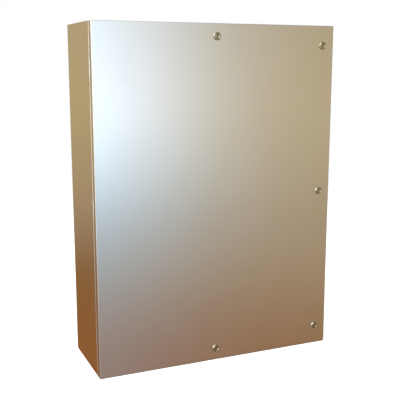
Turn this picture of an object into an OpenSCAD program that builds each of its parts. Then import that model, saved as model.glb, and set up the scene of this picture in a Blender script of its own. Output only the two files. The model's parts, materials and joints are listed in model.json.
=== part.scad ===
// Wall-mount sheet-steel switchboard cabinet. A hinged pan door closes over a folded body,
// five quarter-turn latches hold it, and a mounting plate stands on collar studs inside.
// The front faces -Y and the hinges are at -X. The origin is the middle of the lowest face of
// the cabinet's box. All sizes are in millimetres.

/* [Cabinet] */
// Width over the side walls
cab_w = 914; // [880:1:940]
// Height over the top and bottom walls
cab_h = 1219; // [1180:1:1250]
// Depth of the body, from its rear edge to the shoulder behind the door
body_d = 285; // [270:1:300]
// Thickness of the stainless sheet
sheet = 2; // [1.9:0.1:2.1]
// Outer radius of the folds
bend_r = 3; // [2.8:0.1:3.2]

/* [Door] */
// Depth of the door over its flanges
door_d = 28; // [28:0.5:30]
// Gap between the door's flanges and the body's shoulder
door_gap = 3; // [3:0.5:4]
// How much shorter than the body the door is at each end, so that it swings clear
door_end_clear = 1; // [0.5:0.5:2]
// Width of the foamed-in gasket
gasket_w = 12.5; // [11:0.5:13]
// Distance of the two stiffeners from the middle of the door
stiffener_x = 190; // [190:1:220]
// Height of the drawing pocket's floor
pocket_z = 400; // [300:10:600]

/* [Latches] */
// Distance of the three side latches from the door's free edge
latch_side_in = 46; // [46:1:50]
// Distance of the upper and lower side latches from the door's ends
latch_corner_in = 72; // [70:1:110]
// Distance of the top and bottom latches from the door's ends
latch_end_in = 45; // [45:1:50]
// Offset of the top and bottom latches from the middle of the door
latch_end_x = -14; // [-30:1:30]
// Diameter of a latch's bezel
bezel_d = 28; // [27:0.5:30]

/* [Hinges] */
// Distance of the upper and lower hinges from the door's ends
hinge_in = 150; // [130:5:250]
// Diameter of a hinge pin
pin_d = 5; // [4:0.1:5]

/* [Mounting plate] */
// Width of the mounting plate
plate_w = 838; // [820:1:845]
// Height of the mounting plate
plate_h = 1143; // [1100:1:1150]
// Thickness of the mounting plate
plate_t = 2.7; // [2:0.1:3]
// Height of the collar studs that carry it
collar_h = 20; // [16:1:25]

/* [Fixings] */
// Diameter of the four wall holes
wall_hole_d = 11; // [8:0.5:13]
// Distance of the wall holes from the edges of the back
wall_hole_in = 30; // [28:1:32]

/* [Hidden] */

$fn = 64;
over = 1;                                   // how far a cutting shape runs past a face

// Depths are measured forward from the shoulder plane, the front face of the body's inturned
// edge, and insets are measured inward from the outside of a wall.
bezel_t = 3.2;
bezel_rim_r = 2.8;
bezel_chamfer = 0.8;
face_gasket_t = 0.8;
door_front = door_gap + door_d;
skin_back = door_front - sheet;
front_most = door_front + face_gasket_t + bezel_t;
shoulder_y = (body_d + front_most) / 2 - body_d;
inner_r = bend_r - sheet;

// Gutter: the upturned lip that the gasket closes on. It leaves more room at the hinges.
lip_in = 20;
lip_in_hinge = 26;
lip_front = 20;
lip_corner_r = 8;
opening_w = cab_w - lip_in - lip_in_hinge;
opening_h = cab_h - 2 * lip_in;
opening_x = (lip_in_hinge - lip_in) / 2;

// Gasket, centred on the lip and just clear of it
gasket_clear = 0.3;
gasket_in = lip_in + sheet / 2 - gasket_w / 2;
gasket_in_hinge = lip_in_hinge + sheet / 2 - gasket_w / 2;

// Hinges: the axis lies inside the door's flange
pivot_in = 7.5;
pivot_front = 18;
hinge_zs = [hinge_in, cab_h / 2, cab_h - hinge_in];
knuckle_d = 9;
body_knuckle_l = 24;
leaf_l = 48;
knuckle_gap = 0.3;
pin_clear = 0.05;
arm_t = 3.5;
foot_w = 14;
foot_t = 3;
leaf_plate_w = 15;
leaf_plate_t = 2.5;
web_w = 5;
pin_head_h = 2.5;
pin_tail = 3;
clip_t = 0.8;
clip_groove_r = pin_d / 2 - 0.5;
notch_l = 60;
notch_front = 14;

// Latches: [across, up, direction of the cam while unlocked]
latch_upper = [cab_w / 2 - latch_side_in, cab_h - latch_corner_in, 90];
latch_middle = [cab_w / 2 - latch_side_in, cab_h / 2, 90];
latch_lower = [cab_w / 2 - latch_side_in, latch_corner_in, 90];
latch_top = [latch_end_x, cab_h - latch_end_in, 180];
latch_bottom = [latch_end_x, latch_end_in, 0];
latches = [latch_upper, latch_middle, latch_lower, latch_top, latch_bottom];

// Latch section, from the bezel back to the cam
barrel_r = 10.8;
barrel_flat = 9.8;
barrel_clear = 0.3;
shaft_r = 6;
bore_clear = 0.08;
head_r = 8;
head_clear = 0.3;
seat_front = 28;
head_front = 34;
barrel_back = -3;
cam_front = barrel_back - 0.5;
slot_w = 4;
slot_depth = 4;
tapped_front = 8;
screw_front = 6;
cam_t = 3;
cam_w = 18;
cam_reach = 36;
cam_square = 8;
seal_front = 20;
seal_d = 1.6;
seal_groove_r = 4.4;
seal_clear = 0.04;
washer_t = 1.6;
lock_nut = [barrel_r, 27, 6];

// Fasteners: radius of thread, width over flats, height of nut, radius of washer
m5 = [2.5, 8, 4];
m6 = [3, 10, 5, 6.5];
m8 = [4, 13, 6.5, 8];
m10 = [4.9, 16, 8.4, 11];
cam_screw = [3, 10, 4, 8];

// Mounting plate and its studs
plate_flange = 12;
plate_hole_in = 19;
collar_r = 10;
plate_stud_l = 16;
plate_back = -body_d + sheet + collar_h;
stud_x = plate_w / 2 - plate_hole_in;
stud_z = plate_h / 2 - plate_hole_in;

// Stiffeners: hat sections of thinner sheet
hat_w = 32;
hat_d = 15;
hat_t = 1.5;
hat_foot_w = 14;
hat_end_in = 85;

// Drawing pocket
pocket_w = 280;
pocket_h = 200;
pocket_depth = 36;
pocket_wall = 2;
pocket_corner_r = 6;
pocket_front_h = 165;
pocket_thumb_r = 40;
pocket_ear = 15;
pocket_ear_t = 2.5;
pocket_stud_l = 12;
pocket_fix_x = pocket_w / 2 + pocket_ear / 2;
pocket_fix_zs = [30, pocket_front_h - 15];

// Ground studs: the door's is [across, up] and the body's is [forward, up]
door_ground = [-cab_w / 2 + 90, 70];
door_ground_l = 18;
body_ground = [-60, 75];
body_ground_l = 25;

steel = [0.74, 0.73, 0.70];
bright_steel = [0.82, 0.82, 0.80];
zinc = [0.70, 0.72, 0.72];
galvanised = [0.66, 0.68, 0.69];
rubber = [0.10, 0.10, 0.11];
foam = [0.16, 0.16, 0.17];
pocket_grey = [0.62, 0.64, 0.65];

// ---------------------------------------------------------------- frames

// Children are drawn face-on: x across, y up, z forward of the shoulder plane.
module face_on() translate([0, shoulder_y, 0]) rotate([90, 0, 0]) children();

// Children are drawn in plan: x across, y forward of the shoulder plane, z up.
module in_plan() translate([0, shoulder_y, 0]) mirror([0, 1, 0]) children();

// Children are drawn around a hinge: x inward from the hinge-side wall, y forward, z up from
// the middle of the hinge.
module at_hinges()
    for (z = hinge_zs) in_plan() translate([-cab_w / 2, 0, z]) children();

// Children are drawn around one latch's axis, z forward of the shoulder plane.
module at_latch(latch) face_on() translate([latch[0], latch[1], 0]) children();

// ---------------------------------------------------------------- shared shapes

module slab(w, h, z0, z1) translate([-w / 2, -h / 2, z0]) cube([w, h, z1 - z0]);

module disc(r, z0, z1) translate([0, 0, z0]) cylinder(r = r, h = z1 - z0);

module rounded_rect(w, h, r) {
    square([w - 2 * r, h], center = true);
    square([w, h - 2 * r], center = true);
    for (x = [-1, 1], y = [-1, 1]) translate([x * (w / 2 - r), y * (h / 2 - r)]) circle(r);
}

// A w by d outline from y = 0 up, with its two upper corners rounded
module rounded_top(w, d, r) {
    translate([-w / 2, 0]) square([w, d - r]);
    translate([r - w / 2, 0]) square([w - 2 * r, d]);
    for (x = [-1, 1]) translate([x * (w / 2 - r), d - r]) circle(r);
}

module tray_block(w, h, d, r)
    intersection() {
        linear_extrude(d) rounded_rect(w, h, r);
        rotate([90, 0, 0]) linear_extrude(h, center = true) rounded_top(w, d, r);
        rotate([90, 0, 90]) linear_extrude(w, center = true) rounded_top(h, d, r);
    }

// A folded sheet tray, open at z = 0 and closed at z = d
module tray(w, h, d)
    difference() {
        tray_block(w, h, d, bend_r);
        translate([0, 0, -over])
            tray_block(w - 2 * sheet, h - 2 * sheet, d - sheet + over, inner_r);
    }

module ring(r_out, r_in, z0, z1)
    difference() {
        disc(r_out, z0, z1);
        disc(r_in, z0 - over, z1 + over);
    }

// A washer for that fastener, from z0 up
module washer(size, z0) ring(size[3], size[0] + 0.2, z0, z0 + washer_t);

// A hexagon nut on the z axis, from z0 up
module nut(size, z0)
    difference() {
        translate([0, 0, z0]) cylinder(r = size[1] / sqrt(3), h = size[2], $fn = 6);
        disc(size[0] + bore_clear, z0 - over, z0 + size[2] + over);
    }

// A threaded stud with a chamfered tip, from z0 to z1
module stud(size, z0, z1) {
    tip = size[0] / 4;
    disc(size[0], z0, z1 - tip);
    translate([0, 0, z1 - tip]) cylinder(r1 = size[0], r2 = size[0] - tip, h = tip);
}

// ---------------------------------------------------------------- body

module body_wrap() color(steel) face_on() {
    difference() {
        translate([0, cab_h / 2, -body_d]) tray(cab_w, cab_h, body_d);
        translate([opening_x, cab_h / 2, -sheet - over])
            linear_extrude(sheet + 2 * over) rounded_rect(opening_w, opening_h, lip_corner_r);
    }
    translate([opening_x, cab_h / 2, -sheet]) linear_extrude(sheet + lip_front) difference() {
        rounded_rect(opening_w, opening_h, lip_corner_r);
        rounded_rect(opening_w - 2 * sheet, opening_h - 2 * sheet, lip_corner_r - sheet);
    }
}

module back_panel() color(steel) face_on() translate([0, cab_h / 2, 0]) difference() {
    translate([0, 0, -body_d])
        linear_extrude(sheet) rounded_rect(cab_w - 2 * sheet, cab_h - 2 * sheet, inner_r);
    for (x = [-1, 1], y = [-1, 1])
        translate([x * (cab_w / 2 - wall_hole_in), y * (cab_h / 2 - wall_hole_in), 0])
            disc(wall_hole_d / 2, -body_d - over, -body_d + sheet + over);
}

module at_plate_studs() face_on()
    for (x = [-stud_x, stud_x], z = [-stud_z, 0, stud_z])
        translate([x, cab_h / 2 + z, 0]) children();

module plate_collar_studs() color(bright_steel) at_plate_studs() {
    disc(collar_r, -body_d + sheet, plate_back);
    stud(m10, plate_back - over, plate_back + plate_stud_l);
}

module mounting_plate() color(galvanised) difference() {
    in_plan() translate([0, plate_back - plate_flange, (cab_h - plate_h) / 2])
        linear_extrude(plate_h) difference() {
            rounded_top(plate_w, plate_flange + plate_t, plate_t + inner_r);
            translate([0, -over])
                rounded_top(plate_w - 2 * plate_t, plate_flange + over, inner_r);
        }
    at_plate_studs() disc(m10[0] + 0.8, plate_back - over, plate_back + plate_t + over);
}

module plate_washers() color(zinc) at_plate_studs() washer(m10, plate_back + plate_t);

module plate_nuts() color(zinc) at_plate_studs() nut(m10, plate_back + plate_t + washer_t);

// The body's ground stud stands on the hinge-side wall and points inward.
module at_body_ground()
    translate([-cab_w / 2 + sheet, shoulder_y - body_ground[0], body_ground[1]])
        rotate([0, 90, 0]) children();

module body_ground_stud() color(bright_steel) at_body_ground() stud(m8, 0, body_ground_l);

module body_ground_washer() color(zinc) at_body_ground() washer(m8, 0);

module body_ground_nut() color(zinc) at_body_ground() nut(m8, washer_t);

// ---------------------------------------------------------------- hinges

module pin_bore() translate([pivot_in, pivot_front, 0]) disc(pin_d / 2 + pin_clear, -leaf_l, leaf_l);

module knuckle(z0, z1) translate([pivot_in, pivot_front, 0]) disc(knuckle_d / 2, z0, z1);

// Welded into the gutter: a foot on the shoulder, a post on the lip, and an arm to the pin
module hinge_body_leaves() color(steel) at_hinges() difference() {
    union() {
        knuckle(-body_knuckle_l / 2, body_knuckle_l / 2);
        translate([pivot_in, lip_front - arm_t, -body_knuckle_l / 2])
            cube([lip_in_hinge - pivot_in, arm_t, body_knuckle_l]);
        translate([lip_in_hinge - arm_t, 0, -body_knuckle_l / 2])
            cube([arm_t, lip_front, body_knuckle_l]);
        translate([lip_in_hinge - foot_w, 0, -leaf_l / 2]) cube([foot_w, foot_t, leaf_l]);
    }
    pin_bore();
}

// Welded to the door's skin: a plate, and a knuckle on a web at each end
module hinge_door_leaves() color(steel) at_hinges() difference() {
    web_l = (leaf_l - body_knuckle_l) / 2 - knuckle_gap;
    plate_in = bend_r + 0.2;
    union() {
        translate([plate_in, skin_back - leaf_plate_t, -leaf_l / 2])
            cube([leaf_plate_w, leaf_plate_t, leaf_l]);
        for (z = [-leaf_l / 2, leaf_l / 2 - web_l]) {
            knuckle(z, z + web_l);
            translate([pivot_in - web_w / 2, pivot_front, z])
                cube([web_w, skin_back - pivot_front - leaf_plate_t / 2, web_l]);
        }
    }
    pin_bore();
}

module hinge_pins() color(bright_steel) at_hinges() translate([pivot_in, pivot_front, 0]) {
    head_z = leaf_l / 2 + knuckle_gap;
    disc(knuckle_d / 2 - 0.3, head_z, head_z + pin_head_h);
    difference() {
        disc(pin_d / 2, -head_z - pin_tail, head_z + over);
        ring(pin_d, clip_groove_r, -head_z - clip_t - 0.1, -head_z);
    }
}

// Retaining rings, open on one side, in the pins' lower grooves
module hinge_pin_clips() color(zinc) at_hinges() translate([pivot_in, pivot_front, 0])
    difference() {
        z = -leaf_l / 2 - knuckle_gap - clip_t;
        ring(knuckle_d / 2 - 0.5, clip_groove_r, z, z + clip_t);
        translate([-1.5, 0, z - over]) cube([3, knuckle_d, clip_t + 2 * over]);
    }

// ---------------------------------------------------------------- door

module barrel_outline(extra)
    intersection() {
        circle(barrel_r + extra);
        square([2 * (barrel_r + extra) + over, 2 * (barrel_flat + extra)], center = true);
    }

module door_panel() color(steel) difference() {
    face_on() translate([0, cab_h / 2, door_gap])
        tray(cab_w, cab_h - 2 * door_end_clear, door_d);
    for (latch = latches) at_latch(latch)
        translate([0, 0, skin_back - over]) linear_extrude(sheet + 2 * over)
            barrel_outline(barrel_clear);
    at_hinges() translate([-over, door_gap - over, -notch_l / 2])
        cube([sheet + 2 * over, notch_front - door_gap + over, notch_l]);
}

module door_gasket() color(foam) face_on() {
    gasket_x = (gasket_in_hinge - gasket_in) / 2;
    w = cab_w - gasket_in - gasket_in_hinge;
    h = cab_h - 2 * gasket_in;
    z = lip_front + gasket_clear;
    translate([gasket_x, cab_h / 2, z]) linear_extrude(skin_back - z) difference() {
        rounded_rect(w, h, lip_corner_r + gasket_w / 2);
        rounded_rect(w - 2 * gasket_w, h - 2 * gasket_w, lip_corner_r - gasket_w / 2);
    }
}

// A hat section, spot-welded upright on the door's skin
module stiffener(x) color(steel) in_plan() translate([x, skin_back, hat_end_in])
    linear_extrude(cab_h - 2 * hat_end_in) {
        difference() {
            translate([-hat_w / 2, -hat_d]) square([hat_w, hat_d]);
            translate([hat_t - hat_w / 2, hat_t - hat_d]) square([hat_w - 2 * hat_t, hat_d]);
        }
        for (side = [-1, 1])
            translate([side * (hat_w + hat_foot_w) / 2 - hat_foot_w / 2, -hat_t])
                square([hat_foot_w, hat_t]);
    }

// An open-topped plastic pocket, with an ear down each side for its fixings
module drawing_pocket() color(pocket_grey) in_plan()
    translate([0, skin_back, pocket_z]) difference() {
        union() {
            rotate([0, 0, 180]) linear_extrude(pocket_h)
                rounded_top(pocket_w, pocket_depth, pocket_corner_r);
            translate([-pocket_w / 2 - pocket_ear, -pocket_ear_t, 0])
                cube([pocket_w + 2 * pocket_ear, pocket_ear_t, pocket_front_h]);
        }
        translate([0, -pocket_wall, pocket_wall]) rotate([0, 0, 180]) linear_extrude(pocket_h)
            rounded_top(pocket_w - 2 * pocket_wall, pocket_depth - 2 * pocket_wall,
                        pocket_corner_r - pocket_wall);
        translate([-pocket_w / 2 - over, -pocket_depth - over, pocket_front_h])
            cube([pocket_w + 2 * over, pocket_depth - pocket_wall + over, pocket_h]);
        translate([0, -pocket_depth + pocket_wall + over, pocket_front_h])
            rotate([90, 0, 0]) disc(pocket_thumb_r, 0, pocket_wall + 2 * over);
        for (x = [-1, 1], z = pocket_fix_zs)
            translate([x * pocket_fix_x, over, z]) rotate([90, 0, 0])
                disc(m5[0] + 0.4, 0, pocket_ear_t + 2 * over);
    }

module at_pocket_studs() in_plan()
    for (x = [-1, 1], z = pocket_fix_zs)
        translate([x * pocket_fix_x, skin_back, pocket_z + z]) rotate([90, 0, 0]) children();

module pocket_studs() color(bright_steel) at_pocket_studs() stud(m5, 0, pocket_stud_l);

module pocket_nuts() color(zinc) at_pocket_studs() nut(m5, pocket_ear_t);

module at_door_ground() in_plan() translate([door_ground[0], skin_back, door_ground[1]])
    rotate([90, 0, 0]) children();

module door_ground_stud() color(bright_steel) at_door_ground() stud(m6, 0, door_ground_l);

module door_ground_washer() color(zinc) at_door_ground() washer(m6, 0);

module door_ground_nut() color(zinc) at_door_ground() nut(m6, washer_t);

// ---------------------------------------------------------------- latches

// Half of a bezel's section: x out from the axis, y forward, with a rolled rim
module bezel_section() translate([0, door_front + face_gasket_t]) {
    square([bezel_d / 2 - bezel_rim_r, bezel_t]);
    intersection() {
        square([bezel_d / 2, bezel_t]);
        union() {
            square([bezel_d / 2, bezel_t - bezel_rim_r]);
            translate([bezel_d / 2 - bezel_rim_r, bezel_t - bezel_rim_r]) circle(bezel_rim_r);
        }
    }
}

// A round bezel on a flatted barrel, bored for the rotor
module latch_housings() color(bright_steel) for (latch = latches) at_latch(latch) difference() {
    seat_r = head_r + head_clear;
    union() {
        rotate_extrude() bezel_section();
        translate([0, 0, barrel_back])
            linear_extrude(door_front + face_gasket_t - barrel_back + over) barrel_outline(0);
    }
    disc(shaft_r + bore_clear, barrel_back - over, front_most);
    disc(seat_r, seat_front, front_most + over);
    translate([0, 0, front_most - bezel_chamfer])
        cylinder(r1 = seat_r, r2 = seat_r + 2 * bezel_chamfer, h = 2 * bezel_chamfer);
}

module latch_face_gaskets() color(rubber) for (latch = latches) at_latch(latch)
    difference() {
        disc(bezel_d / 2 - 0.3, door_front, door_front + face_gasket_t);
        translate([0, 0, door_front - over]) linear_extrude(face_gasket_t + 2 * over)
            barrel_outline(barrel_clear);
    }

module latch_lock_nuts() color(zinc) for (latch = latches) at_latch(latch)
    nut(lock_nut, skin_back - lock_nut[2]);

module latch_rotor_seals() color(rubber) for (latch = latches) at_latch(latch)
    translate([0, 0, seal_front]) rotate_extrude()
        translate([seal_groove_r + seal_clear + seal_d / 2, 0]) circle(seal_d / 2);

// Head with a slot that lies across the cam, shaft with a seal groove, and a square end tapped
// for the cam's screw
module latch_rotor(latch) color(bright_steel) at_latch(latch) difference() {
    square_back = cam_front - cam_t + 0.2;
    head_back = seat_front + head_clear;
    head_chamfer = 0.6;
    union() {
        disc(head_r, head_back, head_front - head_chamfer);
        translate([0, 0, head_front - head_chamfer])
            cylinder(r1 = head_r, r2 = head_r - head_chamfer, h = head_chamfer);
        disc(shaft_r, cam_front, head_back + over);
        slab(cam_square, cam_square, square_back, cam_front + over);
    }
    ring(head_r, seal_groove_r, seal_front - seal_d / 2 - 0.2, seal_front + seal_d / 2 + 0.2);
    rotate(latch[2] + 90)
        slab(2 * head_r + 2 * over, slot_w, head_front - slot_depth, head_front + over);
    disc(cam_screw[0] + bore_clear, square_back - over, tapped_front);
}

// A flat cam that reaches behind the body's shoulder when it is turned outward
module latch_cam(latch) color(zinc) at_latch(latch) difference() {
    translate([0, 0, cam_front - cam_t]) linear_extrude(cam_t) rotate(latch[2]) {
        circle(cam_w / 2);
        translate([0, -cam_w / 2]) square([cam_reach - cam_w / 2, cam_w]);
        translate([cam_reach - cam_w / 2, 0]) circle(cam_w / 2);
    }
    slab(cam_square + 0.1, cam_square + 0.1, cam_front - cam_t - over, cam_front + over);
}

module latch_washer(latch) color(zinc) at_latch(latch)
    washer(cam_screw, cam_front - cam_t - washer_t);

module latch_screw(latch) color(zinc) at_latch(latch) {
    head_h = cam_screw[2];
    head_top = cam_front - cam_t - washer_t;
    translate([0, 0, head_top - head_h])
        cylinder(r = cam_screw[1] / sqrt(3), h = head_h, $fn = 6);
    disc(cam_screw[0], head_top - over, screw_front);
}

body_wrap();
back_panel();
plate_collar_studs();
mounting_plate();
plate_washers();
plate_nuts();
hinge_body_leaves();
hinge_pins();
hinge_pin_clips();
body_ground_stud();
body_ground_washer();
body_ground_nut();
door_panel();
door_gasket();
hinge_door_leaves();
stiffener(-stiffener_x);  // stiffener_hinge_side
stiffener(stiffener_x);  // stiffener_latch_side
drawing_pocket();
pocket_studs();
pocket_nuts();
door_ground_stud();
door_ground_washer();
door_ground_nut();
latch_housings();
latch_face_gaskets();
latch_lock_nuts();
latch_rotor_seals();
latch_rotor(latch_upper);  // latch_rotor_upper
latch_cam(latch_upper);  // latch_cam_upper
latch_washer(latch_upper);  // latch_washer_upper
latch_screw(latch_upper);  // latch_screw_upper
latch_rotor(latch_middle);  // latch_rotor_middle
latch_cam(latch_middle);  // latch_cam_middle
latch_washer(latch_middle);  // latch_washer_middle
latch_screw(latch_middle);  // latch_screw_middle
latch_rotor(latch_lower);  // latch_rotor_lower
latch_cam(latch_lower);  // latch_cam_lower
latch_washer(latch_lower);  // latch_washer_lower
latch_screw(latch_lower);  // latch_screw_lower
latch_rotor(latch_top);  // latch_rotor_top
latch_cam(latch_top);  // latch_cam_top
latch_washer(latch_top);  // latch_washer_top
latch_screw(latch_top);  // latch_screw_top
latch_rotor(latch_bottom);  // latch_rotor_bottom
latch_cam(latch_bottom);  // latch_cam_bottom
latch_washer(latch_bottom);  // latch_washer_bottom
latch_screw(latch_bottom);  // latch_screw_bottom
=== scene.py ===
"""A stainless wall-mount switchboard cabinet: materials, fine detail, studio light and camera."""
import json
import math

import bmesh
import bpy
from mathutils import Matrix, Vector


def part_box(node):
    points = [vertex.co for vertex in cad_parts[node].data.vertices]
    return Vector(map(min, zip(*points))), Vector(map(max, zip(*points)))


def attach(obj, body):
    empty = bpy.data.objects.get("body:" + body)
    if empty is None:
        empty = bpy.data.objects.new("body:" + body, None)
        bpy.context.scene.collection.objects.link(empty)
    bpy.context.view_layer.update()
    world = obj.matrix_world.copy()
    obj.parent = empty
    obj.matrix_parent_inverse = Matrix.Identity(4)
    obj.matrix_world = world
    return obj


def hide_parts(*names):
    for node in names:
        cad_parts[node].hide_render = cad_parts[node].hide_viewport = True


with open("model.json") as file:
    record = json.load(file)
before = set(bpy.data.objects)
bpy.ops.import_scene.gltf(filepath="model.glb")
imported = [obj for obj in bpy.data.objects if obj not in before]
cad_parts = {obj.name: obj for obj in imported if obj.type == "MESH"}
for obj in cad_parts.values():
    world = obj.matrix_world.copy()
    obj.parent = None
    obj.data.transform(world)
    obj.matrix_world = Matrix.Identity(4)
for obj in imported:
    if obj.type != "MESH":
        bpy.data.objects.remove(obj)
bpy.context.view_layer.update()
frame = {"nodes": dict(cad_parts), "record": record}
nodes = frame["nodes"]
scene = bpy.context.scene
scene.view_settings.view_transform = "Standard"

MM = 0.001
TOUCHING = 0.001 * MM       # points closer than this are one
WASHER_CLEAR = 0.2 * MM     # between a washer and its stud
LATCHES = ("upper", "middle", "lower", "top", "bottom")
FORWARD = Vector((0, -1, 0))
BACKWARD = Vector((0, 1, 0))
RIGHT = Vector((1, 0, 0))
UP = Vector((0, 0, 1))


# ------------------------------------------------------------------ node helpers

class Graph:
    """Short calls for building one node tree."""

    def __init__(self, tree):
        self.tree = tree

    def node(self, kind, values=None, **settings):
        made = self.tree.nodes.new(kind)
        for name, value in settings.items():
            setattr(made, name, value)
        for name, value in (values or {}).items():
            self.feed(made.inputs[name], value)
        return made

    def feed(self, socket, value):
        if isinstance(value, bpy.types.NodeSocket):
            self.tree.links.new(value, socket)
        else:
            socket.default_value = value

    def math(self, operation, *values, clamp=False):
        made = self.node("ShaderNodeMath", operation=operation, use_clamp=clamp)
        for socket, value in zip(made.inputs, values):
            self.feed(socket, value)
        return made.outputs[0]

    def vector(self, operation, *values):
        made = self.node("ShaderNodeVectorMath", operation=operation)
        for socket, value in zip(made.inputs, values):
            self.feed(socket, value)
        return made.outputs["Value" if operation in ("DOT_PRODUCT", "LENGTH", "DISTANCE") else "Vector"]

    def fade(self, value, low, high, out_low=0.0, out_high=1.0):
        """A smooth step from out_low at low to out_high at high."""
        made = self.node("ShaderNodeMapRange", interpolation_type="SMOOTHSTEP", clamp=True)
        for socket, number in zip(made.inputs, (value, low, high, out_low, out_high)):
            self.feed(socket, number)
        return made.outputs[0]

    def ramp(self, value, stops):
        """A colour that runs straight from each (place, colour) stop to the next."""
        made = self.node("ShaderNodeValToRGB", {"Fac": value})
        elements = made.color_ramp.elements
        while len(elements) < len(stops):
            elements.new(0.5)
        for element, (place, colour) in zip(elements, stops):
            element.position = place
            element.color = (*colour, 1.0)
        return made.outputs["Color"]

    def mix(self, factor, a, b, blend="MIX"):
        made = self.node("ShaderNodeMix", data_type="RGBA", blend_type=blend)
        for name, value in zip(("Factor_Float", "A_Color", "B_Color"), (factor, a, b)):
            socket = next(s for s in made.inputs if s.identifier == name)
            self.feed(socket, (*value, 1.0) if isinstance(value, tuple) and len(value) == 3 else value)
        return next(s for s in made.outputs if s.identifier == "Result_Color")

    def stretch(self, vector, scale):
        """Coordinates in which a pattern is finer along the axes with the larger scale."""
        return self.node("ShaderNodeMapping", {"Vector": vector, "Scale": scale}).outputs[0]

    def noise(self, vector, scale, detail=2.0, rough=0.5):
        return self.node("ShaderNodeTexNoise", {"Vector": vector, "Scale": scale, "Detail": detail,
                                                "Roughness": rough}).outputs["Fac"]

    def cells(self, vector, scale, feature="F1"):
        return self.node("ShaderNodeTexVoronoi", {"Vector": vector, "Scale": scale}, feature=feature)

    def bump(self, height, distance, strength=1.0):
        """A normal from a height of 0 to 1, where 1 stands that distance proud."""
        return self.node("ShaderNodeBump", {"Height": height, "Distance": distance,
                                            "Strength": strength}).outputs[0]


# ------------------------------------------------------------------ studio

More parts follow.
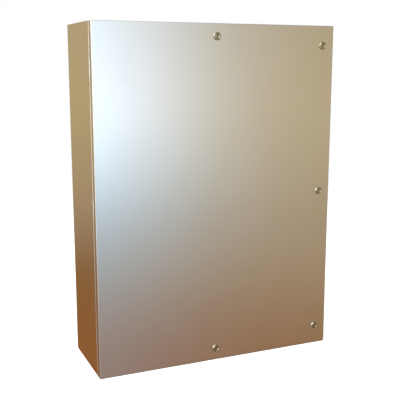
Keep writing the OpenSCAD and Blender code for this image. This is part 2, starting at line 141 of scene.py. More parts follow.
def world_light():
    """The studio that the steel shows, by direction. Its walls are neutral, apart from warm ones
    ahead and at the rear left, and a dull one at the right. A cool pane of window stands ahead, with
    a haze to its left, and further left a curtain with a bright strip. The camera sees plain white."""
    world = bpy.data.worlds.new("studio")
    scene.world = world
    world.use_nodes = True
    g = Graph(world.node_tree)
    world.node_tree.nodes.clear()
    direction = g.node("ShaderNodeTexCoord").outputs["Generated"]
    x, y, z = g.node("ShaderNodeSeparateXYZ", {"Vector": direction}).outputs
    elevation = g.math("ARCSINE", z)
    azimuth = g.math("ARCTAN2", x, g.math("MULTIPLY", y, -1.0))
    rear_azimuth = g.math("ARCTAN2", g.math("MULTIPLY", x, -1.0), y)
    dull_wall = (0.32, 0.30, 0.26)

    def between(angle, start, low, high, end):
        """1 from low to high, fading to 0 at start and at end, all in degrees."""
        return g.math("MULTIPLY", g.fade(angle, math.radians(start), math.radians(low)),
                      g.fade(angle, math.radians(high), math.radians(end), 1.0, 0.0))

    def by_height(levels):
        """Colours by elevation in degrees."""
        height = g.math("ADD", g.math("MULTIPLY", elevation, 1 / math.pi), 0.5)
        return g.ramp(height, [((degrees + 90) / 180, colour) for degrees, colour in levels])

    front = by_height([
        (-90, (0.34, 0.32, 0.30)), (-45, (0.35, 0.25, 0.19)), (-28, (0.41, 0.18, 0.06)),
        (-22, (0.42, 0.175, 0.05)), (-18.5, (0.44, 0.265, 0.11)), (-16, (0.52, 0.35, 0.19)),
        (-11, (0.55, 0.41, 0.22)), (-3, (0.70, 0.53, 0.255)), (3, (0.58, 0.45, 0.215)),
        (20, (0.48, 0.41, 0.26)), (90, (0.45, 0.43, 0.38))])
    rear = by_height([
        (-90, (0.34, 0.32, 0.30)), (-45, (0.33, 0.22, 0.15)), (-28, (0.35, 0.12, 0.00)),
        (-22, (0.36, 0.108, 0.00)), (-16, (0.30, 0.125, 0.01)), (-13.5, (0.38, 0.22, 0.10)),
        (-11, (0.48, 0.32, 0.155)), (-3, (0.61, 0.455, 0.20)), (20, (0.55, 0.435, 0.25)),
        (90, (0.45, 0.43, 0.38))])
    neutral = by_height([
        (-90, (0.33, 0.31, 0.29)), (-24, (0.36, 0.34, 0.32)), (-14, (0.42, 0.40, 0.38)),
        (-6, (0.54, 0.53, 0.51)), (6, (0.62, 0.62, 0.61)), (30, (0.72, 0.73, 0.74)),
        (90, (0.80, 0.81, 0.82))])
    walls = g.mix(between(azimuth, -30, -5, 40, 51), neutral, front)
    walls = g.mix(between(rear_azimuth, -1, 6, 24, 34), walls, rear)
    walls = g.mix(between(azimuth, 50, 62, 85, 105), walls, dull_wall)

    pane = by_height([
        (-90, (0.00, 0.00, 0.00)), (-45, (0.00, 0.03, 0.06)), (-20, (0.00, 0.20, 0.36)),
        (-16, (0.00, 0.30, 0.55)), (-13.5, (0.00, 0.45, 0.84)), (-11, (0.24, 0.79, 1.38)),
        (-6.5, (1.18, 1.88, 2.64)), (-2.5, (1.54, 2.12, 2.96)), (3, (1.09, 1.61, 2.32)),
        (15, (0.68, 0.89, 1.10)), (60, (0.30, 0.35, 0.40))])
    curtain = by_height([
        (-90, (0.04, 0.04, 0.04)), (-18, (0.10, 0.10, 0.10)), (-6, (0.46, 0.48, 0.50)),
        (4, (0.66, 0.68, 0.70)), (15, (1.30, 1.22, 1.08)), (25, (2.60, 2.45, 2.20)),
        (50, (2.60, 2.45, 2.20)), (70, (0.30, 0.30, 0.30))])
    haze = by_height([
        (-90, (0.02, 0.02, 0.02)), (-20, (0.06, 0.07, 0.08)), (-8, (0.20, 0.22, 0.25)),
        (3, (0.34, 0.36, 0.38)), (14, (0.60, 0.60, 0.58)), (24, (2.50, 2.36, 2.12)),
        (50, (2.50, 2.36, 2.12)), (70, (0.30, 0.30, 0.30))])
    beside = g.mix(g.fade(azimuth, math.radians(-60), math.radians(-40)), curtain, haze)
    window = g.mix(g.fade(azimuth, math.radians(-6), math.radians(8)), beside, pane)
    lit = g.mix(between(azimuth, -85, -70, 10, 27), walls, g.mix(1.0, walls, window, "ADD"))
    strip = by_height([
        (-90, (0.0, 0.0, 0.0)), (-22, (0.2, 0.2, 0.2)), (-12, (2.4, 2.4, 2.4)),
        (0, (3.4, 3.4, 3.4)), (30, (3.0, 3.0, 3.0)), (60, (0.0, 0.0, 0.0))])
    studio = g.mix(between(azimuth, -80, -75, -57, -52), lit, g.mix(1.0, lit, strip, "ADD"))

    path = g.node("ShaderNodeLightPath")
    shown = g.mix(path.outputs["Is Camera Ray"], studio, (1.0, 1.0, 1.0))
    background = g.node("ShaderNodeBackground", {"Color": shown, "Strength": 1.0})
    g.node("ShaderNodeOutputWorld", {"Surface": background.outputs[0]})


def overhead_light():
    """A soft light from above that only matt surfaces show."""
    light = bpy.data.lights.new("overhead", "AREA")
    light.shape = "DISK"
    light.size = 3.5
    light.energy = 260
    lamp = bpy.data.objects.new("overhead", light)
    lamp.location = (-0.6, -1.0, 4.0)
    lamp.rotation_euler = (-lamp.location).to_track_quat("-Z", "Y").to_euler()
    lamp.visible_glossy = False
    scene.collection.objects.link(lamp)


def floor():
    """A pale floor that fades into the background."""
    radius = 6.0
    solid_to = 1.2
    clear_from = 4.5
    drop = 0.5 * MM
    bpy.ops.mesh.primitive_circle_add(vertices=96, radius=radius, fill_type="NGON",
                                      location=(0, 0, -drop))
    disc = bpy.context.object
    disc.name = "floor"
    material = bpy.data.materials.new("floor")
    material.use_nodes = True
    g = Graph(material.node_tree)
    material.node_tree.nodes.clear()
    place = g.node("ShaderNodeTexCoord").outputs["Object"]
    reach = g.vector("LENGTH", place)
    below = g.node("ShaderNodeNewGeometry").outputs["Backfacing"]
    matt = g.node("ShaderNodeBsdfDiffuse", {"Color": (0.86, 0.87, 0.88, 1.0)})
    clear = g.node("ShaderNodeBsdfTransparent")
    away = g.math("MAXIMUM", g.fade(reach, solid_to, clear_from), below)
    mixed = g.node("ShaderNodeMixShader", {0: away, 1: matt.outputs[0], 2: clear.outputs[0]})
    g.node("ShaderNodeOutputMaterial", {"Surface": mixed.outputs[0]})
    disc.data.materials.append(material)
    disc.visible_glossy = False


def camera():
    """Front left of the cabinet and a little below its top."""
    door_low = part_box("door_panel")[0]
    past_left = 0.6157
    ahead = 2.2900
    height = 1.0759
    look_down = 10.60
    look_right = 23.48
    data = bpy.data.cameras.new("camera")
    data.lens = 64.73
    eye = bpy.data.objects.new("camera", data)
    eye.location = (door_low.x - past_left, door_low.y - ahead, height)
    eye.rotation_euler = (math.radians(90 - look_down), 0.0, math.radians(-look_right))
    scene.collection.objects.link(eye)
    scene.camera = eye


# ------------------------------------------------------------------ materials

def new_material(name, metallic):
    """A material with its graph, its shader and the place that its patterns are drawn by."""
    material = bpy.data.materials.new(name)
    material.use_nodes = True
    g = Graph(material.node_tree)
    shader = material.node_tree.nodes["Principled BSDF"]
    shader.inputs["Metallic"].default_value = metallic
    place = g.node("ShaderNodeTexCoord").outputs["Object"]
    return material, g, shader, place


def brushed_stainless():
    """Sheet with an upright satin grain, soft smudges, and ground weld seams around the back."""
    seam_solid_to = 5 * MM
    seam_clear_from = 20 * MM
    seam_wander = 6 * MM
    ahead_of_back = 2 * MM
    material, g, shader, place = new_material("brushed_stainless", 1.0)
    grain = g.noise(g.stretch(place, (3000.0, 3000.0, 30.0)), 1.0, 3.0, 0.6)
    cloud = g.noise(place, 5.0, 2.0)
    smudge = g.fade(g.noise(place, 11.0, 5.0, 0.65), 0.56, 0.72)

    back_low, back_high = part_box("back_panel")
    middle = (back_low + back_high) / 2
    half = (back_high - back_low) / 2
    x, y, z = g.node("ShaderNodeSeparateXYZ", {"Vector": g.vector("SUBTRACT", place, middle)}).outputs
    to_side = g.math("SUBTRACT", half.x, g.math("ABSOLUTE", x))
    to_end = g.math("SUBTRACT", half.z, g.math("ABSOLUTE", z))
    to_seam = g.math("ABSOLUTE", g.math("MINIMUM", to_side, to_end))
    ragged = g.math("ADD", to_seam, g.math("MULTIPLY", g.noise(place, 90.0, 2.0), seam_wander))
    at_back = g.fade(y, -half.y - 2 * ahead_of_back, -half.y - ahead_of_back)
    ground = g.math("MULTIPLY", at_back, g.fade(ragged, seam_solid_to, seam_clear_from, 1.0, 0.0))
    swirl = g.noise(g.stretch(place, (120.0, 120.0, 2500.0)), 1.0, 2.0)

    lines = g.mix(ground, grain, swirl)
    g.feed(shader.inputs["Base Color"], g.mix(g.fade(lines, 0.3, 0.7), (0.645, 0.63, 0.605),
                                              (0.675, 0.66, 0.635)))
    satin = g.math("ADD", g.fade(lines, 0.2, 0.8, -0.02, 0.02), g.fade(cloud, 0.3, 0.7, 0.215, 0.225))
    handled = g.math("ADD", satin, g.math("MULTIPLY", smudge, 0.012))
    g.feed(shader.inputs["Roughness"], g.math("ADD", handled, g.math("MULTIPLY", ground, 0.10)))
    shader.inputs["Anisotropic"].default_value = 0.5
    normal = g.node("ShaderNodeNewGeometry").outputs["Normal"]
    across = g.vector("ADD", g.vector("CROSS_PRODUCT", (0.0, 0.0, 1.0), normal), (0.001, 0.0, 0.0))
    g.feed(shader.inputs["Tangent"], across)
    return material


def latch_rings(g, place, spacing):
    """Lathe rings around whichever latch is nearest, from 0 to 1."""
    flat = g.vector("MULTIPLY", place, (1.0, 0.0, 1.0))
    reach = None
    for latch in LATCHES:
        low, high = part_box("latch_rotor_" + latch)
        middle = (low + high) / 2
        far = g.vector("DISTANCE", flat, (middle.x, 0.0, middle.z))
        reach = far if reach is None else g.math("MINIMUM", reach, far)
    uneven = g.math("ADD", reach, g.math("MULTIPLY", g.noise(place, 300.0), spacing))
    turns = g.math("MULTIPLY", uneven, 2 * math.pi / spacing)
    return g.math("ADD", g.math("MULTIPLY", g.math("SINE", turns), 0.5), 0.5)


def latch_metal(name, pale, dark, smooth, dull):
    """Plated latch metal, turned on a lathe and rubbed bright in places."""
    material, g, shader, place = new_material(name, 1.0)
    rings = latch_rings(g, place, 0.35 * MM)
    worn = g.fade(g.noise(place, 260.0, 4.0, 0.6), 0.42, 0.66)
    g.feed(shader.inputs["Base Color"], g.mix(worn, pale, dark))
    g.feed(shader.inputs["Roughness"], g.math("ADD", g.fade(worn, 0.0, 1.0, smooth, dull),
                                              g.math("MULTIPLY", rings, 0.03)))
    g.feed(shader.inputs["Normal"], g.bump(rings, 0.002 * MM))
    return material


def turned_steel():
    """Bright bar stock: fine uneven polish with faint handling marks."""
    material, g, shader, place = new_material("turned_steel", 1.0)
    fine = g.noise(place, 2400.0, 3.0, 0.6)
    marks = g.fade(g.noise(place, 180.0, 4.0, 0.6), 0.4, 0.7)
    g.feed(shader.inputs["Base Color"], g.mix(marks, (0.70, 0.69, 0.67), (0.56, 0.55, 0.53)))
    g.feed(shader.inputs["Roughness"], g.math("ADD", g.fade(fine, 0.3, 0.7, 0.20, 0.30),
                                              g.math("MULTIPLY", marks, 0.08)))
    g.feed(shader.inputs["Normal"], g.bump(fine, 0.004 * MM))
    return material


def zinc_plated():
    """Passivated zinc: blue-grey that drifts to straw yellow, with a slightly pitted skin."""
    material, g, shader, place = new_material("zinc_plated", 1.0)
    drift = g.noise(place, 95.0, 3.0, 0.55)
    tone = g.ramp(drift, [(0.30, (0.67, 0.70, 0.75)), (0.48, (0.74, 0.76, 0.77)),
                          (0.60, (0.78, 0.75, 0.64)), (0.72, (0.68, 0.67, 0.70))])
    pits = g.noise(place, 1700.0, 3.0, 0.6)
    g.feed(shader.inputs["Base Color"], g.mix(g.fade(pits, 0.62, 0.74), tone, (0.45, 0.45, 0.45)))
    g.feed(shader.inputs["Roughness"], g.math("ADD", g.fade(drift, 0.3, 0.7, 0.26, 0.36),
                                              g.fade(pits, 0.3, 0.7, 0.0, 0.08)))
    g.feed(shader.inputs["Normal"], g.bump(pits, 0.012 * MM))
    return material


def galvanised_plate():
    """Hot-dip spangle: crystals about a thumb wide, each with its own shade and feathered streaks."""
    material, g, shader, place = new_material("galvanised_plate", 1.0)
    wander = g.node("ShaderNodeTexNoise", {"Vector": place, "Scale": 60.0, "Detail": 3.0}).outputs["Color"]
    bent = g.vector("ADD", place, g.vector("MULTIPLY", wander, (0.006, 0.006, 0.006)))
    crystals = g.cells(bent, 58.0)
    shade, turn, gloss = g.node("ShaderNodeSeparateColor", {"Color": crystals.outputs["Color"]}).outputs
    spun = g.node("ShaderNodeVectorRotate", {"Vector": place, "Axis": (0.0, 1.0, 0.0),
                                             "Angle": g.math("MULTIPLY", turn, 2 * math.pi)},
                  rotation_type="AXIS_ANGLE").outputs[0]
    feather = g.noise(g.stretch(spun, (900.0, 900.0, 110.0)), 1.0, 3.0, 0.6)
    border = g.fade(g.cells(bent, 58.0, "DISTANCE_TO_EDGE").outputs["Distance"], 0.0, 0.05, 1.0, 0.0)
    tone = g.ramp(shade, [(0.0, (0.50, 0.50, 0.50)), (0.5, (0.55, 0.55, 0.55)), (1.0, (0.61, 0.61, 0.60))])
    streaked = g.mix(g.fade(feather, 0.35, 0.65, 0.0, 0.3), tone, (0.64, 0.64, 0.63))
    g.feed(shader.inputs["Base Color"], g.mix(g.math("MULTIPLY", border, 0.25), streaked,
                                              (0.42, 0.42, 0.42)))
    g.feed(shader.inputs["Roughness"], g.math("ADD", g.fade(gloss, 0.0, 1.0, 0.40, 0.48),
                                              g.fade(feather, 0.3, 0.7, -0.02, 0.03)))
    g.feed(shader.inputs["Normal"], g.bump(g.math("ADD", feather, border), 0.003 * MM))
    return material


def foam_seal():
    """Poured polyurethane: a skin of fine closed pores with a few burst ones, sunk in the bump and painted
    near-black as shade inside them.
    """
    material, g, shader, place = new_material("foam_seal", 0.0)
    pores = g.cells(place, 1100.0).outputs["Distance"]
    burst_pores_and_shade = g.fade(g.cells(place, 210.0).outputs["Distance"], 0.10, 0.16, 1.0, 0.0)
    dusty = g.noise(place, 30.0, 4.0, 0.6)
    tone = g.mix(g.fade(dusty, 0.35, 0.7), (0.030, 0.030, 0.032), (0.060, 0.059, 0.057))
    # painted shade: the burst pores are coloured near-black where the bump sinks them
    g.feed(shader.inputs["Base Color"], g.mix(burst_pores_and_shade, tone, (0.010, 0.010, 0.011)))
    g.feed(shader.inputs["Roughness"], g.fade(pores, 0.0, 0.6, 0.72, 0.92))
    height = g.math("SUBTRACT", pores, g.math("MULTIPLY", burst_pores_and_shade, 1.5))
    g.feed(shader.inputs["Normal"], g.bump(height, 0.12 * MM))
    return material


def black_rubber():
    """Moulded rubber with a fine matt texture and a grey bloom."""
    material, g, shader, place = new_material("black_rubber", 0.0)
    bloom = g.noise(place, 70.0, 4.0, 0.6)
    fine = g.noise(place, 2600.0, 2.0, 0.6)
    g.feed(shader.inputs["Base Color"], g.mix(g.fade(bloom, 0.4, 0.75), (0.016, 0.016, 0.017),
                                              (0.042, 0.042, 0.043)))
    g.feed(shader.inputs["Roughness"], g.fade(bloom, 0.3, 0.7, 0.48, 0.68))
    g.feed(shader.inputs["Normal"], g.bump(fine, 0.02 * MM))
    return material


def pocket_plastic():
    """Grey moulded plastic with a fine leather grain and scuffed patches."""
    material, g, shader, place = new_material("pocket_plastic", 0.0)
    pebbles = g.cells(place, 1500.0, "SMOOTH_F1").outputs["Distance"]
    scuffs = g.fade(g.noise(g.stretch(place, (50.0, 50.0, 14.0)), 1.0, 5.0, 0.65), 0.55, 0.75)
    flow = g.noise(g.stretch(place, (6.0, 6.0, 2.0)), 1.0, 2.0)
    tone = g.mix(g.fade(flow, 0.3, 0.7), (0.38, 0.395, 0.405), (0.44, 0.45, 0.46))
    g.feed(shader.inputs["Base Color"], g.mix(g.math("MULTIPLY", scuffs, 0.4), tone, (0.55, 0.55, 0.55)))
    g.feed(shader.inputs["Roughness"], g.math("ADD", g.fade(pebbles, 0.0, 0.7, 0.40, 0.52),
                                              g.math("MULTIPLY", scuffs, 0.10)))
    g.feed(shader.inputs["Normal"], g.bump(pebbles, 0.035 * MM))
    return material


def weld_metal():
    """Stainless weld: bright ripples with straw and blue heat tint."""
    material, g, shader, place = new_material("weld_metal", 1.0)
    heat = g.noise(place, 160.0, 3.0, 0.6)
    tint = g.ramp(heat, [(0.30, (0.62, 0.60, 0.57)), (0.46, (0.66, 0.60, 0.49)),
                         (0.56, (0.57, 0.51, 0.47)), (0.66, (0.47, 0.50, 0.56)),
                         (0.78, (0.58, 0.57, 0.56))])
    scale = g.noise(place, 1400.0, 3.0, 0.6)
    g.feed(shader.inputs["Base Color"], tint)
    g.feed(shader.inputs["Roughness"], g.fade(scale, 0.3, 0.7, 0.24, 0.46))
    g.feed(shader.inputs["Normal"], g.bump(scale, 0.02 * MM))
    return material


finishes = {
    "stainless_sheet": brushed_stainless(),
    "polished_stainless": latch_metal("latch_bezel", (0.48, 0.45, 0.37), (0.36, 0.335, 0.27), 0.10, 0.17),
    "turned_steel": turned_steel(),
    "zinc_plated": zinc_plated(),
    "galvanised_plate": galvanised_plate(),
    "foam_seal": foam_seal(),
    "black_rubber": black_rubber(),
    "pocket_plastic": pocket_plastic(),
}
latch_insert = latch_metal("latch_insert", (0.45, 0.435, 0.34), (0.33, 0.315, 0.24), 0.14, 0.22)
welds = weld_metal()


def cover_frame():
    """Give every CAD node the finish of its slot. The slotted rotors are a duller metal than the bezels."""
    rotors = ["latch_rotor_" + latch for latch in LATCHES]
    for row in frame["record"]["subparts"]:
        name = row["node"]
        slots = nodes[name].data.materials
        slots.clear()
        slots.append(latch_insert if name in rotors else finishes[row["material_slot"]])


def soften(width, *names):
    """Break the sharp edges of CAD nodes, as deburring does."""
    flat_angle = 0.5
    sharp_angle = 40
    for name in names:
        part = nodes[name]
        part.modifiers.new("weld", "WELD").merge_threshold = TOUCHING
        flat = part.modifiers.new("flat faces", "DECIMATE")
        flat.decimate_type = "DISSOLVE"
        flat.angle_limit = math.radians(flat_angle)
        edges = part.modifiers.new("soft edges", "BEVEL")
        edges.width = width
        edges.segments = 2
        edges.limit_method = "ANGLE"
        edges.angle_limit = math.radians(sharp_angle)
        edges.use_clamp_overlap = False
        part.modifiers.new("shading", "WEIGHTED_NORMAL").weight = 100


# ------------------------------------------------------------------ mesh helpers

def solids(node):
    """The boxes of a node's separate solids, from the lowest up and from left to right."""
    mesh = bmesh.new()
    mesh.from_mesh(nodes[node].data)
    bmesh.ops.remove_doubles(mesh, verts=mesh.verts, dist=TOUCHING)
    waiting = set(mesh.verts)
    boxes = []
    while waiting:
        front = [waiting.pop()]
        corners = []
        while front:
            vert = front.pop()
            corners.append(vert.co.copy())
            for edge in vert.link_edges:
                other = edge.other_vert(vert)
                if other in waiting:
                    waiting.remove(other)
                    front.append(other)
        low = Vector(min(corner[k] for corner in corners) for k in range(3))
        high = Vector(max(corner[k] for corner in corners) for k in range(3))
        boxes.append((low, high))
    mesh.free()
    return sorted(boxes, key=lambda box: (round(box[0].z, 4), round(box[0].x, 4)))


def standing(base, axis, turn=0.0):
    """The place of something that stands on base with its own z along axis."""
    aim = axis.to_track_quat("Z", "Y").to_matrix().to_4x4()
    return Matrix.Translation(base) @ aim @ Matrix.Rotation(turn, 4, "Z")


def circle(radius, height, count):
    """Points round a circle at one height, from the x axis on."""
    angles = [2 * math.pi * k / count for k in range(count)]
    return [(radius * math.cos(angle), radius * math.sin(angle), height) for angle in angles]


def oval(half_across, half_up, count):
    """A section for sweeping, as (across, up) pairs."""
    return [(half_across * x, half_up * y) for x, y, _ in circle(1.0, 0.0, count)]


def line(start, end, spacing):
    """Points from start to end, about that far apart."""
    steps = max(1, round((end - start).length / spacing))
    return [start.lerp(end, step / steps) for step in range(steps + 1)]


def arc(middle, radius, first, last, across, up, steps):
    """Points on an arc from one angle to another, in degrees, where 0 is across and 90 is up."""
    points = []
    for step in range(steps + 1):
        angle = math.radians(first + (last - first) * step / steps)
        points.append(middle + across * radius * math.cos(angle) + up * radius * math.sin(angle))
    return points


def loop(middle, radius, across, up, count):
    """Points all round a circle, without a repeated one."""
    return arc(middle, radius, 0, 360 - 360 / count, across, up, count - 1)


class Shape:
    """Points and faces gathered for one piece, each shape set in by self.place."""

    def __init__(self):
        self.points = []
        self.faces = []
        self.place = Matrix.Identity(4)

    def skin(self, rings, closed=False):
        """Quads between rings of equal length. The ends join up, or each gets a flat face."""
        base = len(self.points)
        count = len(rings[0])
        self.points += [self.place @ Vector(point) for ring in rings for point in ring]
        for row in range(len(rings) if closed else len(rings) - 1):
            low = base + row * count
            high = base + (row + 1) % len(rings) * count
            for k in range(count):
                after = (k + 1) % count
                self.faces.append((low + k, low + after, high + after, high + k))
        if not closed:
            last = base + (len(rings) - 1) * count
            self.faces.append(tuple(base + k for k in reversed(range(count))))
            self.faces.append(tuple(last + k for k in range(count)))

    def lathe(self, profile, count=40, closed=False):
        """A section of (radius, height) pairs turned about z."""
        self.skin([circle(radius, height, count) for radius, height in profile], closed)

    def washer(self, outer, inner, low, high):
        """A stamped ring: rounded on its upper edges, sharp below."""
        soft = 0.25 * (high - low)
        cut = 0.3 * soft
        self.lathe([(inner, low), (outer, low), (outer, high - soft), (outer - cut, high - cut),
                    (outer - soft, high), (inner + soft, high), (inner, high - soft)], closed=True)

    def thread(self, radius, pitch, low, high, count=28, steps=6):
        """A threaded rod with a chamfered tip."""
        depth = 0.6 * pitch
        crest = 0.1
        rows = round((high - low) / pitch * steps)
        rings = []
        for row in range(rows + 1):
            z = low + (high - low) * row / rows
            ring = []
            for k in range(count):
                phase = (z / pitch - k / count) % 1.0
                groove = depth * max(0.0, 1 - crest - abs(2 * phase - 1))
                reach = min(radius - groove, radius - depth + (high - z))
                angle = 2 * math.pi * k / count
                ring.append((reach * math.cos(angle), reach * math.sin(angle), z))
            rings.append(ring)
        self.skin(rings)

    def hexagon(self, across, chamfer_r, face_z, inward, count=60):
        """The edge where a 30 degree chamfer, starting at chamfer_r on a face, meets six flats."""
        ring = []
        for k in range(count):
            angle = 2 * math.pi * k / count
            reach = across / 2 / math.cos(angle % (math.pi / 3) - math.pi / 6)
            drop = (reach - chamfer_r) * math.tan(math.radians(30))
            ring.append((reach * math.cos(angle), reach * math.sin(angle), face_z + inward * drop))
        return ring

    def nut(self, across, bore, low, high, count=60):
        """A hexagon nut, chamfered at both ends, with a countersunk bore."""
        chamfer_r = 0.475 * across
        sink = 0.06 * across
        self.skin([circle(bore + sink, low, count), circle(chamfer_r, low, count),
                   self.hexagon(across, chamfer_r, low, 1), self.hexagon(across, chamfer_r, high, -1),
                   circle(chamfer_r, high, count), circle(bore + sink, high, count),
                   circle(bore, high - sink, count), circle(bore, low + sink, count)], closed=True)

    def hex_screw(self, across, radius, tip, head, count=60):
        """A hexagon-headed screw: shank from tip up to 0, a washer face, and a dished head up to head."""
        chamfer_r = 0.475 * across
        face_r = 0.46 * across
        face = 0.06 * across
        tip_r = 0.7 * radius
        dish_r = 0.30 * across
        dish_floor_r = 0.25 * across
        self.skin([circle(tip_r, tip, count), circle(radius, tip + radius - tip_r, count),
                   circle(radius, 0, count), circle(face_r, 0, count), circle(face_r, face, count),
                   self.hexagon(across, chamfer_r, face, 0), self.hexagon(across, chamfer_r, head, -1),
                   circle(chamfer_r, head, count), circle(dish_r, head, count),
                   circle(dish_floor_r, head - face, count)])

    def sweep(self, path, section, up, closed=False, grow=None):
        """A section of (across, up) pairs carried along a path. grow gives its scale at each point."""
        count = len(path)
        rings = []
        across = None
        for k, point in enumerate(path):
            before = path[(k - 1) % count] if closed or k > 0 else point
            after = path[(k + 1) % count] if closed or k < count - 1 else point
            ahead = (after - before).normalized()
            across = ahead.cross(up) if across is None else across - ahead * across.dot(ahead)
            across.normalize()
            rise = across.cross(ahead)
            scale = grow(k / (count - 1)) if grow else 1.0
            rings.append([point + (across * a + rise * b) * scale for a, b in section])
        self.skin(rings, closed)

    def bead(self, path, radius, up, closed=False):
        """A rippled weld bead, rounded at its ends unless it closes on itself."""
        ripple_length = 1.4 * MM
        ripple_height = 0.13
        flatness = 0.85
        thinnest = 0.2
        length = sum((b - a).length for a, b in zip(path, path[1:]))
        ripples = round(length / ripple_length)

        def grow(share):
            wave = 1 + ripple_height * math.cos(2 * math.pi * ripples * share)
            if closed:
                return wave
            end = min(1.0, min(share, 1 - share) * length / radius)
            return wave * max(thinnest, math.sqrt(end * (2 - end)))

        self.sweep(path, oval(radius, flatness * radius, 10), up, closed, grow)


def add_piece(name, shape, body, slot, material, *replaced):
    """Make the gathered shape one object that rides on a body."""
    sharp_angle = 32
    mesh = bpy.data.meshes.new(name)
    mesh.from_pydata(shape.points, [], shape.faces)
    clean = bmesh.new()
    clean.from_mesh(mesh)
    bmesh.ops.recalc_face_normals(clean, faces=clean.faces)
    clean.to_mesh(mesh)
    clean.free()
    mesh.shade_smooth()
    mesh.set_sharp_from_angle(angle=math.radians(sharp_angle))
    mesh.materials.append(material)
    made = bpy.data.objects.new(name, mesh)
    scene.collection.objects.link(made)
    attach(made, body)
    if replaced:
        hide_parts(*replaced)
    return made


# ------------------------------------------------------------------ fasteners

def rear_middle(low, high):
    """The middle of a box's rear face."""
    return Vector(((low.x + high.x) / 2, high.y, (low.z + high.z) / 2))


def front_middle(low, high):
    """The middle of a box's front face."""
    return Vector(((low.x + high.x) / 2, low.y, (low.z + high.z) / 2))


def plate_fixings():
    """Collar studs welded to the back, with a washer and a nut on each."""
    collar = 20 * MM
    edge = 0.8 * MM
    thread_r = 4.9 * MM
    pitch = 1.5 * MM
    sunk = 0.5 * MM
    bead_r = 2 * MM
    studs, washers, nuts, beads = Shape(), Shape(), Shape(), Shape()
    for low, high in solids("plate_collar_studs"):
        base = rear_middle(low, high)
        radius = (high.x - low.x) / 2
        studs.place = standing(base, FORWARD)
        studs.lathe([(radius - edge, 0.0), (radius, edge), (radius, collar - edge),
                     (radius - edge, collar), (thread_r, collar)])
        studs.thread(thread_r, pitch, collar - sunk, high.y - low.y)
        beads.bead(loop(base, radius, RIGHT, UP, 90), bead_r, FORWARD, closed=True)
    for low, high in solids("plate_washers"):
        washers.place = standing(rear_middle(low, high), FORWARD)
        washers.washer((high.x - low.x) / 2, thread_r + WASHER_CLEAR, 0.0, high.y - low.y)
    for low, high in solids("plate_nuts"):
        nuts.place = standing(rear_middle(low, high), FORWARD)
        nuts.nut(high.z - low.z, thread_r, 0.0, high.y - low.y)
    steel, zinc = finishes["turned_steel"], finishes["zinc_plated"]
    add_piece("plate_collar_studs_threaded", studs, "cabinet", "turned_steel", steel, "plate_collar_studs")
    add_piece("plate_stud_welds", beads, "cabinet", "stainless_sheet", welds)
    add_piece("plate_washers_stamped", washers, "cabinet", "zinc_plated", zinc, "plate_washers")
    add_piece("plate_nuts_chamfered", nuts, "cabinet", "zinc_plated", zinc, "plate_nuts")


def ground_fixings(side, body, axis, thread_r, pitch, turn):
    """A welded earth stud with its washer and nut."""
    (low, high), = solids(side + "_ground_stud")
    middle = (low + high) / 2
    reach = abs(((high - low) / 2).dot(axis))
    base = middle - axis * reach
    stud, washer, nut = Shape(), Shape(), Shape()
    for shape in (stud, washer, nut):
        shape.place = standing(base, axis, turn)
    stud.thread(thread_r, pitch, 0.0, 2 * reach)

    def span(node):
        """Where a node starts and ends along the stud, and its height."""
        (node_low, node_high), = solids(node)
        start = (node_low - base).dot(axis)
        end = (node_high - base).dot(axis)
        return min(start, end), max(start, end), node_high.z - node_low.z

    start, end, height = span(side + "_ground_washer")
    washer.washer(height / 2, thread_r + WASHER_CLEAR, start, end)
    start, end, height = span(side + "_ground_nut")
    across_flats = height if turn == 0.0 else height * math.cos(math.radians(30))
    nut.nut(across_flats, thread_r, start, end)
    add_piece(side + "_ground_stud_threaded", stud, body, "turned_steel", finishes["turned_steel"],
              side + "_ground_stud")
    add_piece(side + "_ground_washer_stamped", washer, body, "zinc_plated", finishes["zinc_plated"],
              side + "_ground_washer")
    add_piece(side + "_ground_nut_chamfered", nut, body, "zinc_plated", finishes["zinc_plated"],
              side + "_ground_nut")


def pocket_fixings():
    """Threaded weld studs through the pocket's ears, with nuts."""
    thread_r = 2.5 * MM
    pitch = 0.8 * MM
    nut_across = 8 * MM
    studs, nuts = Shape(), Shape()
    for low, high in solids("pocket_studs"):
        studs.place = standing(front_middle(low, high), BACKWARD)
        studs.thread(thread_r, pitch, 0.0, high.y - low.y, count=24)
    for low, high in solids("pocket_nuts"):
        nuts.place = standing(front_middle(low, high), BACKWARD)
        nuts.nut(nut_across, thread_r, 0.0, high.y - low.y)
    add_piece("pocket_studs_threaded", studs, "door", "turned_steel", finishes["turned_steel"],
              "pocket_studs")
    add_piece("pocket_nuts_chamfered", nuts, "door", "zinc_plated", finishes["zinc_plated"], "pocket_nuts")


def latch_fixings():
    """The lock nut, screw and washer of each latch."""
    housing_r = 10.8 * MM
    washer_bore_r = 3.2 * MM
    screw_r = 3 * MM
    screw_across = 10 * MM
    nuts = Shape()
    for low, high in solids("latch_lock_nuts"):
        nuts.place = standing(front_middle(low, high), BACKWARD)
        nuts.nut(high.z - low.z, housing_r, 0.0, high.y - low.y)
    add_piece("latch_lock_nuts_chamfered", nuts, "door", "zinc_plated", finishes["zinc_plated"],
              "latch_lock_nuts")
    for latch in LATCHES:
        low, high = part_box("latch_washer_" + latch)
        screw_low, screw_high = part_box("latch_screw_" + latch)
        under = front_middle(low, high)
        washer, screw = Shape(), Shape()
        washer.place = standing(under, BACKWARD)
        washer.washer((high.x - low.x) / 2, washer_bore_r, 0.0, high.y - low.y)
        screw.place = standing(under + BACKWARD * (high.y - low.y), BACKWARD)
        screw.hex_screw(screw_across, screw_r, screw_low.y - high.y, screw_high.y - high.y)
        add_piece("latch_washer_stamped_" + latch, washer, "latch_" + latch, "zinc_plated",
                  finishes["zinc_plated"], "latch_washer_" + latch)
        add_piece("latch_screw_hexed_" + latch, screw, "latch_" + latch, "zinc_plated",
                  finishes["zinc_plated"], "latch_screw_" + latch)


# ------------------------------------------------------------------ soft and moulded parts

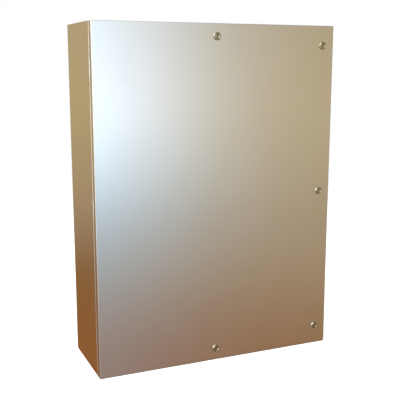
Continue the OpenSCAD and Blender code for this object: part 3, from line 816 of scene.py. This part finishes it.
def poured_gasket():
    """The foamed-in gasket: a low dome with a set line where the body's lip presses it."""
    low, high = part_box("door_gasket")
    width = 12.5 * MM
    height = high.y - low.y
    corner = 8 * MM
    spacing = 12 * MM
    edge = 0.02
    inset = width / 2
    left, right = low.x + inset + corner, high.x - inset - corner
    bottom, top = low.z + inset + corner, high.z - inset - corner
    path = []
    for x, z, first in ((right, bottom, -90), (right, top, 0), (left, top, 90), (left, bottom, 180)):
        turn = arc(Vector((x, low.y, z)), corner, first, first + 90, RIGHT, UP, 10)
        if path:
            path += line(path[-1], turn[0], spacing)[1:-1]
        path += turn
    path += line(path[-1], path[0], spacing)[1:-1]
    section = [(-inset, 0.0)]
    for k in range(17):
        across = -1 + k / 8
        dome = (1 - abs(across) ** 3.2) ** 0.55
        set_line = 0.14 * math.exp(-(across / 0.20) ** 2)
        section.append((across * inset * 0.995, height * max(edge, dome - set_line)))
    section.append((inset, 0.0))

    def grow(share):
        """The pour is a little uneven, and fullest where its two ends meet."""
        joint = math.exp(-((share - 0.93) / 0.004) ** 2)
        waver = math.sin(2 * math.pi * 31 * share) * math.sin(2 * math.pi * 7 * share)
        return 0.975 + 0.008 * waver + 0.017 * joint

    gasket = Shape()
    gasket.sweep(path, section, BACKWARD, closed=True, grow=grow)
    add_piece("door_gasket_poured", gasket, "door", "foam_seal", finishes["foam_seal"], "door_gasket")


def pocket_trim():
    """A rolled rim around the pocket's mouth and ribs down its front, moulded with it."""
    low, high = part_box("drawing_pocket")
    wall = 2 * MM
    ear = 15 * MM
    mouth = low.z + 165 * MM
    corner = 5 * MM
    notch = 40 * MM
    blend = 4 * MM
    spacing = 4 * MM
    rim_r = 1.7 * MM
    left, right = low.x + ear + wall / 2, high.x - ear - wall / 2
    back, front = low.y + wall, high.y - wall / 2
    path = line(Vector((left, back, mouth)), Vector((left, front - corner, mouth)), spacing)[:-1]
    path += arc(Vector((left + corner, front - corner, mouth)), corner, 180, 90, RIGHT, BACKWARD, 8)
    path += line(path[-1], Vector((-notch - blend, front, mouth)), spacing)[1:-1]
    path += arc(Vector((-notch - blend, front, mouth - blend)), blend, 90, 0, RIGHT, UP, 6)
    path += arc(Vector((0, front, mouth - blend)), notch, 180, 360, RIGHT, UP, 40)[1:-1]
    path += arc(Vector((notch + blend, front, mouth - blend)), blend, 180, 90, RIGHT, UP, 6)
    path += line(path[-1], Vector((right - corner, front, mouth)), spacing)[1:-1]
    path += arc(Vector((right - corner, front - corner, mouth)), corner, 90, 0, RIGHT, BACKWARD, 8)
    path += line(path[-1], Vector((right, back, mouth)), spacing)[1:]
    rim = Shape()
    rim.sweep(path, oval(rim_r, rim_r, 14), UP)
    add_piece("pocket_rim", rim, "door", "pocket_plastic", finishes["pocket_plastic"])

    rib_pitch = 28 * MM
    rib_width = 4.4 * MM
    rib_height = 1.1 * MM
    rib_taper = 4 * MM
    margin = 14 * MM
    bottom = low.z + margin
    ribs = Shape()
    for k in range(-4, 5):
        x = k * rib_pitch
        top = mouth - margin
        if abs(x) < notch + 6 * MM:
            top -= math.sqrt((notch + 8 * MM) ** 2 - x * x) - 6 * MM
        rib = line(Vector((x, high.y, bottom)), Vector((x, high.y, top)), 1.5 * MM)
        tapers = (top - bottom) / rib_taper
        ribs.sweep(rib, oval(rib_width / 2, rib_height, 14), BACKWARD,
                   grow=lambda share: min(1.0, math.sqrt(0.02 + min(share, 1 - share) * tapers)))
    add_piece("pocket_ribs", ribs, "door", "pocket_plastic", finishes["pocket_plastic"])


# ------------------------------------------------------------------ welds

def hinge_welds():
    """Fillet beads on three sides of each hinge leaf: on the body's shoulder and on the door's skin."""
    spacing = 0.35 * MM
    foot = 14 * MM
    body_bead_r = 1.7 * MM
    door_bead_r = 1.1 * MM
    half_leaf = 24 * MM
    body, door = Shape(), Shape()
    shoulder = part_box("hinge_body_leaves")[1].y
    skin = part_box("hinge_door_leaves")[0].y
    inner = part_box("hinge_door_leaves")[1].x
    for low, high in solids("hinge_body_leaves"):
        outer = high.x - foot
        middle = (low.z + high.z) / 2
        body.bead(line(Vector((outer, shoulder, low.z)), Vector((outer, shoulder, high.z)), spacing),
                  body_bead_r, FORWARD)
        for z in (low.z, high.z):
            body.bead(line(Vector((outer, shoulder, z)), Vector((high.x, shoulder, z)), spacing),
                      body_bead_r, FORWARD)
        bottom, top = middle - half_leaf, middle + half_leaf
        door.bead(line(Vector((inner, skin, bottom)), Vector((inner, skin, top)), spacing),
                  door_bead_r, BACKWARD)
        for z in (bottom, top):
            door.bead(line(Vector((inner - foot, skin, z)), Vector((inner, skin, z)), spacing),
                      door_bead_r, BACKWARD)
    add_piece("hinge_welds_on_body", body, "cabinet", "stainless_sheet", welds)
    add_piece("hinge_welds_on_door", door, "door", "stainless_sheet", welds)


def ground_stud_weld(side, body, axis, radius):
    """A small ring of weld at the foot of an earth stud."""
    bead_r = 0.9 * MM
    low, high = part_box(side + "_ground_stud")
    base = (low + high) / 2 - axis * abs(((high - low) / 2).dot(axis))
    across = BACKWARD if axis == RIGHT else RIGHT
    ring = Shape()
    ring.bead(loop(base, radius, across, UP, 72), bead_r, axis, closed=True)
    add_piece(side + "_ground_stud_weld", ring, body, "stainless_sheet", welds)


def spot_welds():
    """Pressed spot-weld marks along both feet of each stiffener."""
    thickness = 1.5 * MM
    edge = 7 * MM
    end = 18 * MM
    count = 18
    spots = Shape()
    for node in ("stiffener_hinge_side", "stiffener_latch_side"):
        low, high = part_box(node)
        for x in (low.x + edge, high.x - edge):
            for k in range(count):
                z = low.z + end + (high.z - low.z - 2 * end) * k / (count - 1)
                spots.place = standing(Vector((x, low.y + thickness, z)), BACKWARD)
                spots.lathe([(3.4 * MM, -0.3 * MM), (3.2 * MM, 0.02 * MM), (2.9 * MM, 0.16 * MM),
                             (2.5 * MM, 0.18 * MM), (2.3 * MM, 0.06 * MM), (1.2 * MM, 0.04 * MM)], count=28)
    add_piece("stiffener_spot_welds", spots, "door", "stainless_sheet", welds)


cover_frame()
soften(0.4 * MM, "body_wrap", "door_panel", "back_panel", "mounting_plate", "stiffener_hinge_side",
       "stiffener_latch_side", "hinge_body_leaves", "hinge_door_leaves", "drawing_pocket")
soften(0.3 * MM, *("latch_cam_" + latch for latch in LATCHES))
plate_fixings()
ground_fixings("body", "cabinet", RIGHT, 4 * MM, 1.25 * MM, math.pi / 2)
ground_fixings("door", "door", BACKWARD, 3 * MM, 1.0 * MM, 0.0)
pocket_fixings()
latch_fixings()
poured_gasket()
pocket_trim()
hinge_welds()
ground_stud_weld("body", "cabinet", RIGHT, 8 * MM)
ground_stud_weld("door", "door", BACKWARD, 6.5 * MM)
spot_welds()

world_light()
overhead_light()
floor()
camera()
